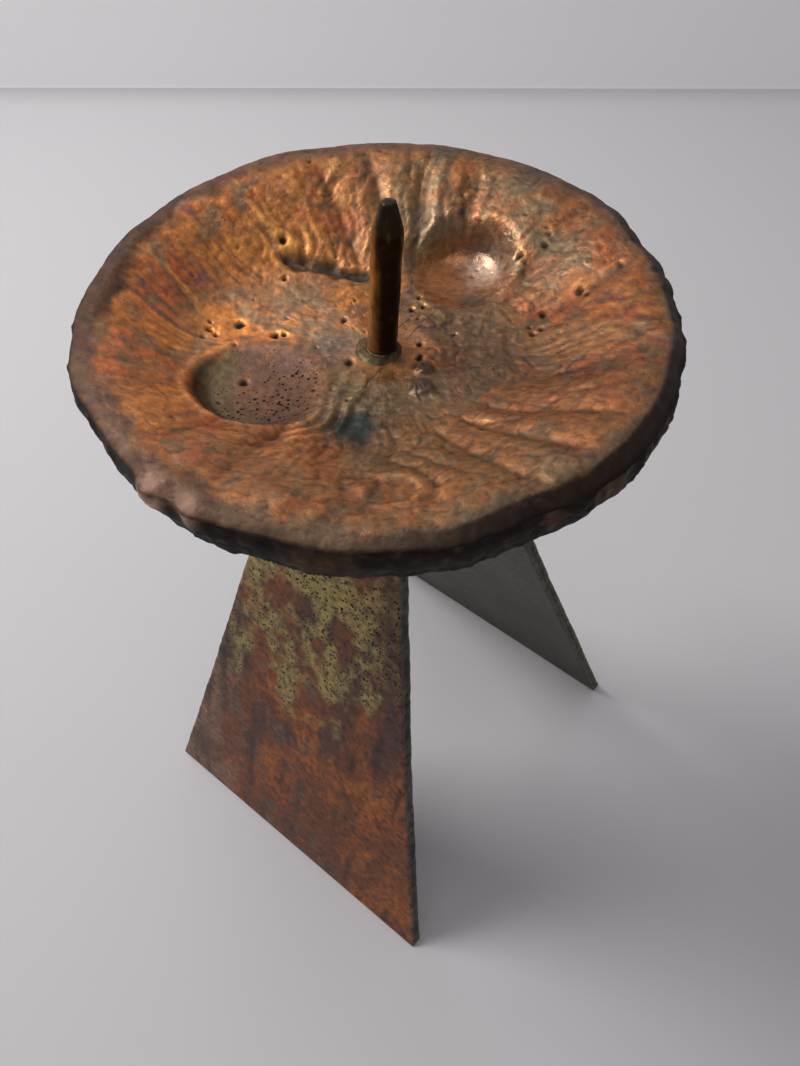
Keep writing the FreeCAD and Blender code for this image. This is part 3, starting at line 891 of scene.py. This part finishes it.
def dish_points(dish):
    """The casting: its section carried round the axis, pushed by the relief, the outline and the skin."""
    rim = dish.rim_radius / MM
    section = dish_profile(dish)
    rows = len(section[0])
    is_top = (np.arange(rows) < TOP_ROWS)[:, None]
    angle = np.broadcast_to(np.linspace(0, TAU, DISH_COLUMNS, endpoint=False), (rows, DISH_COLUMNS))
    radius, height, share = (np.broadcast_to(values[:, None], angle.shape) for values in section)
    surface = DishSurface(dish, radius[:TOP_ROWS], angle[:TOP_ROWS])
    relief = np.concatenate([surface.height, np.zeros((rows - TOP_ROWS, DISH_COLUMNS))])
    across, along = np.cos(angle), np.sin(angle)
    lumps = lump_reach(dish, angle)
    dents = 0.75 * layers(22 * across, 22 * along, height * 0.07, 74)
    dents = dents + 0.35 * layers(30 * across, 30 * along, height * 0.4, 75)
    on_edge = ease(share, 0.0, 0.12) * (1 - ease(-height, *EDGE_END))
    stray = edge_stray(angle) * ease(radius / rim * 4 - 3, 0, 1) + dents * on_edge
    stray = stray + lumps * np.where(is_top, ease(radius, rim - 4, rim), 1 - share)
    x = (radius + stray) * across
    y = (radius + stray) * along
    swell = 0.5 * lumps * ease(radius, rim - 6, rim - 2)
    skin = 0.5 * layers(x * 0.2, y * 0.2, height * 0.2, 82) * ease(radius, 24.0, 32.0)
    below = skin * ease(-height, 4.0, 9.0) - edge_bevel(angle) * (1 - share)
    z = dish.rim_height / MM + height + np.where(is_top, relief + swell, below)
    return np.stack([x, y, z], -1), surface, height, share


def crust_patina(dish, points, height, share):
    """Dark crust with brown and olive flecks on the edge, darkened further as painted shade where the edge
    faces away from the light, pinkish with painted sheen on the lumps, brown underneath.

    Gives colour, roughness and specks.
    """
    x, y, z = np.moveaxis(points, -1, 0)
    angle = np.arctan2(y, x)
    skin = layers(x * 0.22, y * 0.22, z * 0.10, 91)
    fleck = layers(x * 0.7, y * 0.7, z * 0.5, 92)
    tallest = LUMPS[0][1]
    lump = ease(np.clip(lump_reach(dish, angle) / tallest, 0, 1) * (1 - share), 0.15, 0.7)
    # the edge colour is partly real crust and partly painted shade where the edge faces away from the light
    crust_and_shade = mixed(dish.crust_and_shade, dish.brown, 0.45 * ease(skin + 0.6 * fleck, 0.25, 1.0))
    crust_and_shade = mixed(crust_and_shade, dish.olive, 0.45 * ease(skin - fleck, 0.2, 0.9) * sector(angle, *OLIVE_SIDE))
    # pinkish lumps, brightened as painted sheen
    crust_and_shade = mixed(crust_and_shade, dish.blister_and_sheen, 0.85 * lump)
    under = mixed(dish.margin, dish.crust_and_shade, 0.5 + 0.8 * skin)
    tone = mixed(crust_and_shade, under, ease(-height, *UNDERSIDE_START))
    return tone, 0.70 - 0.40 * lump + 0.12 * fleck, np.full(share.shape, EDGE_SPECKS)


class CANDLE_OT_build_dish(bpy.types.Operator):
    """Cast dish with its well, flow folds, hollows, pits and rough edge"""
    bl_idname = "candle_holder.build_dish"
    bl_label = "Build Cast Dish"

    def execute(self, context):
        dish = context.scene.candle_holder.dish
        points, surface, height, share = dish_points(dish)
        mesh = grid_mesh("dish_casting", points, close_rows=True)
        top = (surface.patina(), surface.gloss(), surface.specks())
        rest = crust_patina(dish, points[TOP_ROWS:], height[TOP_ROWS:], share[TOP_ROWS:])
        paint(mesh, *(np.concatenate(pair) for pair in zip(top, rest)))
        place_piece("dish_casting", mesh, cast_copper_finish(dish), "cast_copper", "cast_dish")
        return {"FINISHED"}


def lathe_points(radius, height, columns, roughness, seed):
    """A turned section carried round the axis, with its radius dented by noise of the given depth."""
    angle = np.linspace(0, TAU, columns, endpoint=False)[None, :]
    radius = np.asarray(radius)[:, None]
    height = np.asarray(height)[:, None]
    dent = roughness * layers(2.4 * np.cos(angle), 2.4 * np.sin(angle), height * 0.35, seed)
    reach = radius * (1 + 0 * angle) + dent * ease(radius, 0.3, 1.5)
    return np.stack([reach * np.cos(angle), reach * np.sin(angle), height + 0 * angle], -1)


def leaning(points, spike, floor):
    """Points above the floor turned about the foot of the spike, out of upright and towards its lean."""
    hinge = Vector((-math.sin(spike.lean_towards), math.cos(spike.lean_towards), 0))
    turn = np.array(Matrix.Rotation(spike.lean, 3, hinge))
    foot = np.array([0.0, 0.0, floor])
    return np.where(points[..., 2:] > floor - 0.5, (points - foot) @ turn.T + foot, points)


def spike_section(spike, floor, under):
    """Radius and height of the turned spike: peened tail, tenon, upset foot, shaft and blunt point."""
    pole = 0.02
    low = spike.tail / MM
    tip = floor + spike.height / MM
    shoulder = floor + spike.shoulder_height / MM
    taper = spike.taper / MM
    shaft = (spike.radius + spike.scale) / MM
    blunt = spike.tip_radius / MM
    wide = spike.shoulder_radius / MM
    thin = spike.tenon_radius / MM
    tail = spike.tail_radius / MM
    foot = np.array([
        (pole, low), (tail - 0.9, low), (tail, under), (thin, under),
        (thin, floor - 0.6), (wide, floor - 0.4), (wide, shoulder - 0.3), (wide - 0.15, shoulder),
    ])
    body = np.linspace(shoulder + 0.35, tip - taper, 64)
    point = np.linspace(0, 1, 16)[1:]
    pointed = shaft - (shaft - blunt) * point ** 1.25
    radius = np.concatenate([foot[:, 0], np.full(body.shape, shaft), pointed, [blunt * 0.6, pole]])
    height = np.concatenate([foot[:, 1], body, tip - taper + taper * point * 0.97, [tip - 0.05, tip]])
    return radius, height


class CANDLE_OT_build_spike(bpy.types.Operator):
    """Forged candle spike with a blunt point, an upset foot and a peened tail"""
    bl_idname = "candle_holder.build_spike"
    bl_label = "Build Spike"

    def execute(self, context):
        settings = context.scene.candle_holder
        spike = settings.spike
        floor = (settings.dish.rim_height - settings.dish.well_depth) / MM
        tip = floor + spike.height / MM
        radius, height = spike_section(spike, floor, settings.dish.underside / MM)
        upright = lathe_points(radius, height, columns=56, roughness=0.16, seed=101)
        mesh = grid_mesh("pricket_rod", leaning(upright, spike, floor), close_rows=False)
        x, y, z = np.moveaxis(upright, -1, 0)
        scale = layers(x * 0.5, y * 0.5, z * 0.10, 102)
        flake = layers(x * 0.9, y * 0.9, z * 0.5, 103)
        # partly real scale, partly painted light: the golden scale is laid thickest on the rod's side
        # towards the window light, and lower down
        painted_lit_side = -0.80 * x - 0.60 * y - 0.05 * (z - floor - 12)
        golden = ease(painted_lit_side + scale + 0.6 * flake, 0.2, 2.4)
        patina = mixed(spike.iron, spike.brass, 0.95 * golden + 0.25 * ease(flake, 0.3, 0.8))
        patina = mixed(patina, spike.iron, 0.7 * ease(z, tip - 0.9 * spike.taper / MM, tip))
        paint(mesh, patina, gloss=0.40 + 0.1 * flake, specks=0.5)
        place_piece("pricket_rod", mesh, spike_finish(spike), "spike_brass", "pricket_spike")
        return {"FINISHED"}


class CANDLE_OT_build_collar(bpy.types.Operator):
    """Filler metal that has crept up round the foot of the spike"""
    bl_idname = "candle_holder.build_collar"
    bl_label = "Build Braze Collar"

    def execute(self, context):
        settings = context.scene.candle_holder
        spike = settings.spike
        floor = (settings.dish.rim_height - settings.dish.well_depth) / MM
        clearance = 0.05
        sunk = 0.3
        inner = spike.shoulder_radius / MM + clearance
        outer = spike.collar_radius / MM
        rise = spike.collar_height / MM
        sweep = np.linspace(0, 1, 12)
        radius = np.concatenate([[inner], outer + (inner - outer) * sweep])
        height = np.concatenate([[floor - sunk], floor - sunk + (rise + sunk) * sweep ** 2])
        upright = lathe_points(radius, height, columns=64, roughness=0.5, seed=111)
        points = leaning(upright, spike, floor)
        mesh = grid_mesh("braze_collar", points, close_rows=True)
        x, y, z = np.moveaxis(points, -1, 0)
        cloud = layers(x * 0.5, y * 0.5, z * 0.5, 112)
        patina = mixed(spike.filler, settings.dish.olive, 0.25 + 0.6 * cloud)
        paint(mesh, patina, gloss=0.45, specks=0.3)
        place_piece("braze_collar", mesh, braze_finish(settings.plates), "braze", "spike_braze_collar")
        return {"FINISHED"}


# Grid of the plates, in millimetres where it is a size
PLATE_ROUNDING = 0.7
PLATE_END_INSET = 0.45
PLATE_ENDS = np.array([0.0, 0.2, 0.5])  # rows that round the bottom and the top edge
PLATE_FIRST_ROW = 1.4
PLATE_ROWS = 168
PLATE_COLUMNS = 96
PLATE_CORNER_STEPS = 5


def plate_loop(thick):
    """A plate's level section as a loop: the outer face with its rounded corners, and the mirror of it.

    Gives each point's share along the flat, its extra reach past it and its depth below the outer face.
    """
    swing = np.linspace(0, math.pi / 2, PLATE_CORNER_STEPS)
    back = swing[::-1]
    side = np.ones(PLATE_CORNER_STEPS + 1)
    flat = np.zeros(PLATE_COLUMNS - 2)
    share = np.concatenate([-side, np.linspace(-1, 1, PLATE_COLUMNS)[1:-1], side])
    reach = PLATE_ROUNDING * np.concatenate([[-1], -np.cos(swing), flat, np.cos(back), [1]])
    depth = PLATE_ROUNDING * np.concatenate([[1], 1 - np.sin(swing), flat, 1 - np.sin(back), [1]])
    depth[0] = depth[-1] = thick / 2
    share = np.concatenate([share, share[::-1]])
    reach = np.concatenate([reach, reach[::-1]])
    depth = np.concatenate([depth, thick - depth[::-1]])
    return share, reach, depth


def plate_points(plates, seed):
    """A sheared plate: its section carried up the lean, narrowing more on one side, with nicks and dents."""
    thick = plates.depth / MM
    middle = thick / 2
    top = plates.height / MM
    share, reach, depth = plate_loop(thick)
    rows = np.linspace(PLATE_FIRST_ROW, top - PLATE_FIRST_ROW, PLATE_ROWS)
    level = np.concatenate([PLATE_ENDS, rows, top - PLATE_ENDS[::-1]])[:, None]
    rounded = PLATE_END_INSET * (1 - PLATE_ENDS / PLATE_ENDS[-1])
    inset = np.concatenate([rounded, np.zeros(PLATE_ROWS), rounded[::-1]])[:, None]
    rise = level / top
    half = plates.foot_half / MM * (1 - rise) + plates.top_half / MM * rise
    half = half - 4 * plates.side_bow / MM * rise * (1 - rise) - inset
    x = share * (half - PLATE_ROUNDING) + reach
    x = x - plates.side_trim / MM * np.sqrt(rise) * (1 + share) / 2
    nick = 0.20 * layers(level * 0.10, share * 3.0, 0.0, seed)
    nick = nick + 0.12 * noise(level * 0.6, share * 3.0, 0.0, seed + 4)
    x = x + nick * np.abs(share) ** 12 * ease(level, 0.0, 3.0)
    squeezed = middle + (depth - middle) * (1 - 2 * inset / thick)
    outer = -plates.foot_offset / MM + (plates.foot_offset - plates.top_offset) / MM * rise
    dent = 0.40 * noise(x * 0.022, level * 0.022, 0.0, seed + 8)
    dent = dent + 0.10 * layers(x * 0.16, level * 0.16, 0.0, seed + 9)
    outward = np.where(depth < middle, -1.0, 1.0)
    pitted = 0.10 * layers(x * 0.5, level * 0.5, depth, seed + 10)
    firm = ease(level, 0.0, 4.0) * (1 - ease(level, top - 6.0, top))
    y = outer + squeezed + (dent + outward * pitted) * firm
    z = level + 0 * x
    return np.stack([x, y, z], -1), share + 0 * x, rise + 0 * x, depth + 0 * x


def plate_patina(plates, x, share, rise, depth, seed):
    """Torch-coloured outer face, grey inner face, dark sheared edges: colour, roughness and specks."""
    thick = plates.depth / MM
    height = rise * plates.height / MM
    cloud = layers(x * 0.035, height * 0.035, 0.0, seed)
    patch = layers(x * 0.10, height * 0.07, 0.0, seed + 5)
    grain = layers(x * 0.45, height * 0.45, 0.0, seed + 10)
    run = layers(x * 0.14, height * 0.025, 0.0, seed + 15)
    blot = layers(x * 0.20, height * 0.16, 0.0, seed + 20)
    drip = layers(x * 0.28, height * 0.030, 0.0, seed + 25)
    outer = mixed(plates.rust, plates.ember, 0.4 + 0.9 * patch + 0.8 * blot + 0.5 * grain)
    outer = mixed(outer, plates.pewter, 0.55 * ease(blot - 0.5 * patch + 0.3 * cloud, 0.25, 0.7))
    outer = mixed(outer, plates.soot, 0.55 * ease(0.7 * drip + 0.5 * blot + 0.3 * grain, 0.22, 0.6))
    outer = mixed(outer, plates.blush, ease(-share + 0.5 * patch - 0.35 * rise, 0.45, 0.90))
    smoke = ease(run + 0.5 * cloud - 0.25 * np.abs(rise - 0.42), 0.12, 0.6)
    outer = mixed(outer, plates.plum, 0.75 * smoke)
    ragged = 0.12 * run + 0.20 * patch + 0.10 * blot
    poured = ease(rise + ragged - 0.10 * np.abs(share + 0.25), 0.42, 0.56)
    whole = ease(0.8 * patch + 0.8 * blot + 0.4 * grain, -0.45, 0.2)
    outer = mixed(outer, plates.brassy, 0.92 * poured * whole)
    trail = bell(rise - 0.40, 0.10) * ease(drip + 0.4 * grain, 0.0, 0.5)
    outer = mixed(outer, plates.soot, 0.75 * trail)
    outer = mixed(outer, plates.plum, 0.7 * bell(share - 0.92, 0.16) * ease(rise, 0.38, 0.6))
    inner = mixed(plates.umber, plates.pewter, ease(rise + 0.25 * cloud, 0.05, 0.55))
    inner = inner * (1 + 0.22 * patch + 0.12 * grain)[..., None]
    edge = np.asarray(plates.shear) * (1 + 0.4 * patch + 0.4 * grain)[..., None]
    inner_side = ease(depth, thick - 0.75, thick - 0.15)
    outer_side = 1 - ease(depth, 0.15, 0.75)
    tone = mixed(mixed(edge, outer, outer_side), inner, inner_side)
    worn = ease(np.abs(share), 0.985, 1.0) * bell(depth - 0.25, 0.3) + ease(-height, -1.0, 0.0) * 0.5
    tone = mixed(tone, plates.blush, 0.45 * worn * ease(grain + patch, -0.5, 0.4))
    gloss = 0.52 + 0.06 * patch - 0.04 * inner_side
    crowded = 0.45 + 0.9 * ease(blot + 0.5 * run, -0.2, 0.4)
    specks = outer_side * np.clip((0.75 * poured + 0.45) * crowded, 0, 1.15)
    return tone, gloss, specks


class CANDLE_OT_build_plates(bpy.types.Operator):
    """Two sheared leg plates that lean together under the dish"""
    bl_idname = "candle_holder.build_plates"
    bl_label = "Build Leg Plates"

    def execute(self, context):
        plates = context.scene.candle_holder.plates
        finish = leg_sheet_finish(plates)
        for name, node, turn, seed in (
            ("front_plate_sheet", "front_leg_plate", 1, 200),
            ("back_plate_sheet", "back_leg_plate", -1, 300),
        ):
            points, share, rise, depth = plate_points(plates, seed)
            patina, gloss, specks = plate_patina(plates, points[..., 0], share, rise, depth, seed + 30)
            mesh = grid_mesh(name, points * np.array([turn, turn, 1]), close_rows=False)
            paint(mesh, patina, gloss, specks)
            place_piece(name, mesh, finish, "leg_sheet", node)
        return {"FINISHED"}


def bead_points(plates, outside, seed):
    """A bead: a rounded fillet carried along the plate's top edge, swelling with each drop of filler."""
    leg = plates.bead_leg / MM
    half = plates.top_half / MM
    thick = plates.depth / MM
    top = plates.height / MM
    lean = (plates.foot_offset - plates.top_offset) / plates.height
    side = -1.0 if outside else 1.0
    face = -plates.top_offset / MM + (0.0 if outside else thick)
    overlap = 0.1
    steps = 12
    along = np.linspace(-half, half, 110)[:, None]
    ripple = 0.10 * np.sin(along * TAU / 1.9) + 0.18 * noise(along * 0.6, 0.0, 0.0, seed)
    ends = np.sqrt(np.clip(1 - np.abs(along / half) ** 8, 0.0, 1.0))
    size = leg * (0.90 + ripple) * (0.25 + 0.75 * ends)
    swing = np.linspace(0, math.pi / 2, steps)
    out = np.concatenate([np.cos(swing), np.zeros(steps)]) ** 1.25
    down = np.concatenate([np.sin(swing), np.linspace(0.95, 0.0, steps)]) ** 1.25
    y = face - lean * size * down + side * size * out - side * overlap
    z = top + overlap - size * down
    return np.stack([along + 0 * y, y, z], -1)


class CANDLE_OT_build_beads(bpy.types.Operator):
    """Four beads of filler metal between the plates and the dish"""
    bl_idname = "candle_holder.build_beads"
    bl_label = "Build Braze Beads"

    def execute(self, context):
        settings = context.scene.candle_holder
        plates = settings.plates
        finish = braze_finish(plates)
        for count, (end, turn) in enumerate((("front", 1), ("back", -1))):
            for outside, face in ((True, "outer"), (False, "inner")):
                seed = 400 + 20 * count + 10 * outside
                points = bead_points(plates, outside, seed) * np.array([turn, turn, 1])
                mesh = grid_mesh(f"{end}_{face}_bead", points, close_rows=False)
                x, y, z = np.moveaxis(points, -1, 0)
                cloud = layers(x * 0.3, y * 0.3, z * 0.3, seed)
                patina = mixed(settings.spike.filler, plates.plum, 0.4 + 0.8 * cloud)
                paint(mesh, patina, gloss=0.42, specks=0.3)
                place_piece(f"{end}_{face}_bead", mesh, finish, "braze", f"{end}_{face}_braze_bead")
        return {"FINISHED"}


# Stage, in metres
LIGHT_AIM = 0.12  # height that the lights point at
CEILING_PLACE = (-0.10, 0.30, 1.05)  # from there to the right, ahead and up
CEILING_SIZE = 0.26
CEILING_TINT = (1.0, 0.98, 0.96)
WINDOW_PLACE = (-0.55, 0.22, 0.75)
WINDOW_SIZE = 0.32
WINDOW_TINT = (1.0, 0.985, 0.97)
ROOM_TINT = (0.985, 0.98, 1.0, 1)
FLOOR_BEHIND = 2.0  # floor behind the camera
FLOOR_HALF_WIDTH = 2.5
FLOOR_GAP = 0.0002  # table top just below the feet
WALL_HEIGHT = 1.4
COVE = 0.012  # radius between table and wall
COVE_STEPS = 8
SENSOR_MM = 36.0
IMAGE_HEIGHT = 1066


def camera_matrix(stage):
    """Camera axes from heading, pitch and roll: right and down turned about the line of sight."""
    ahead = Vector((math.cos(stage.camera_heading), math.sin(stage.camera_heading), 0))
    level_right = Vector((ahead.y, -ahead.x, 0))
    up = Vector((0, 0, 1))
    sight = ahead * math.cos(stage.camera_pitch) - up * math.sin(stage.camera_pitch)
    level_down = -ahead * math.sin(stage.camera_pitch) - up * math.cos(stage.camera_pitch)
    right = level_right * math.cos(stage.camera_roll) + level_down * math.sin(stage.camera_roll)
    down = -level_right * math.sin(stage.camera_roll) + level_down * math.cos(stage.camera_roll)
    turned = Matrix((right, -down, -sight)).transposed().to_4x4()
    turned.translation = Vector(stage.camera_place)
    return turned


class CANDLE_OT_build_stage(bpy.types.Operator):
    """Pale table with a wall behind it, soft light and the camera"""
    bl_idname = "candle_holder.build_stage"
    bl_label = "Build Stage"

    def execute(self, context):
        stage = context.scene.candle_holder.stage
        scene = context.scene
        self.add_floor(stage)
        heading = stage.camera_heading
        ahead = Vector((math.cos(heading), math.sin(heading), 0))
        right = Vector((ahead.y, -ahead.x, 0))
        up = Vector((0, 0, 1))
        aim = up * LIGHT_AIM
        for name, place, size, power, tint in (
            ("ceiling", CEILING_PLACE, CEILING_SIZE, stage.ceiling_power, CEILING_TINT),
            ("window", WINDOW_PLACE, WINDOW_SIZE, stage.window_power, WINDOW_TINT),
        ):
            spot = aim + right * place[0] + ahead * place[1] + up * place[2]
            self.add_light(name, spot, aim, size, power, tint)
        world = bpy.data.worlds.new("soft_room")
        world.use_nodes = True
        background = world.node_tree.nodes["Background"]
        background.inputs["Color"].default_value = ROOM_TINT
        background.inputs["Strength"].default_value = stage.room_light
        scene.world = world
        scene.view_settings.view_transform = "Standard"
        camera = bpy.data.objects.new("photo_camera", bpy.data.cameras.new("photo_camera"))
        camera.data.sensor_width = SENSOR_MM
        camera.data.lens = SENSOR_MM * stage.camera_focal_pixels / IMAGE_HEIGHT
        camera.data.clip_start = 0.01
        camera.matrix_world = camera_matrix(stage)
        scene.collection.objects.link(camera)
        scene.camera = camera
        return {"FINISHED"}

    def add_floor(self, stage):
        """A table that turns up into a wall: a path of floor, quarter round and wall, carried sideways."""
        wall = stage.wall_distance
        swing = np.linspace(0, math.pi / 2, COVE_STEPS)
        reach = np.concatenate([[-FLOOR_BEHIND], wall - COVE + COVE * np.sin(swing), [wall]])
        rise = np.concatenate([[0.0], COVE - COVE * np.cos(swing), [WALL_HEIGHT]]) - FLOOR_GAP
        across = np.array([-FLOOR_HALF_WIDTH, FLOOR_HALF_WIDTH])
        heading = stage.camera_heading + stage.wall_turn
        x = reach[:, None] * math.cos(heading) + across * math.sin(heading)
        y = reach[:, None] * math.sin(heading) - across * math.cos(heading)
        points = np.stack([x, y, rise[:, None] + 0 * across], -1).reshape(-1, 3)
        start = np.arange(0, len(points) - 2, 2)
        faces = np.stack([start, start + 1, start + 3, start + 2], -1)
        mesh = bpy.data.meshes.new("table")
        mesh.from_pydata(points.tolist(), [], faces.tolist())
        mesh.polygons.foreach_set("use_smooth", np.ones(len(faces), dtype=bool))
        on_wall = np.arange(len(faces)) >= COVE_STEPS - 1
        mesh.polygons.foreach_set("material_index", on_wall.astype(np.int32))
        mesh.materials.append(stage_finish("pale_table", stage.floor_colour))
        mesh.materials.append(stage_finish("paler_wall", stage.wall_colour))
        table = bpy.data.objects.new("table", mesh)
        bpy.context.scene.collection.objects.link(table)

    def add_light(self, name, place, target, size, power, tint):
        """A square soft light that faces the target."""
        lamp = bpy.data.lights.new(name, "AREA")
        lamp.size = size
        lamp.energy = power
        lamp.color = tint
        light = bpy.data.objects.new(name, lamp)
        light.location = place
        light.rotation_euler = (target - place).to_track_quat("-Z", "Y").to_euler()
        bpy.context.scene.collection.objects.link(light)


class CANDLE_PT_panel(bpy.types.Panel):
    """Lists the settings and the pieces in the sidebar"""
    bl_label = "Candle Holder"
    bl_idname = "CANDLE_PT_panel"
    bl_space_type = "VIEW_3D"
    bl_region_type = "UI"
    bl_category = "Candle Holder"

    def draw(self, context):
        settings = context.scene.candle_holder
        for operator in OPERATORS:
            self.layout.operator(operator.bl_idname)
        for group in (settings.dish, settings.spike, settings.plates, settings.stage):
            box = self.layout.box()
            for name in group.__annotations__:
                box.prop(group, name)


GROUPS = (DishSettings, SpikeSettings, PlateSettings, StageSettings, HolderSettings)
OPERATORS = (
    CANDLE_OT_build_stage,
    CANDLE_OT_build_dish,
    CANDLE_OT_build_spike,
    CANDLE_OT_build_collar,
    CANDLE_OT_build_plates,
    CANDLE_OT_build_beads,
)


def register():
    """Adds the settings, operators and panel to the session."""
    for made in (*GROUPS, *OPERATORS, CANDLE_PT_panel):
        bpy.utils.register_class(made)
    bpy.types.Scene.candle_holder = bpy.props.PointerProperty(type=HolderSettings)


def unregister():
    """Takes them out again, in reverse order."""
    del bpy.types.Scene.candle_holder
    for made in reversed((*GROUPS, *OPERATORS, CANDLE_PT_panel)):
        bpy.utils.unregister_class(made)


def main():
    """Builds the stage and the pieces in order."""
    register()
    bpy.ops.candle_holder.build_stage()
    bpy.ops.candle_holder.build_dish()
    bpy.ops.candle_holder.build_spike()
    bpy.ops.candle_holder.build_collar()
    bpy.ops.candle_holder.build_plates()
    bpy.ops.candle_holder.build_beads()


if __name__ == "__main__":
    main()
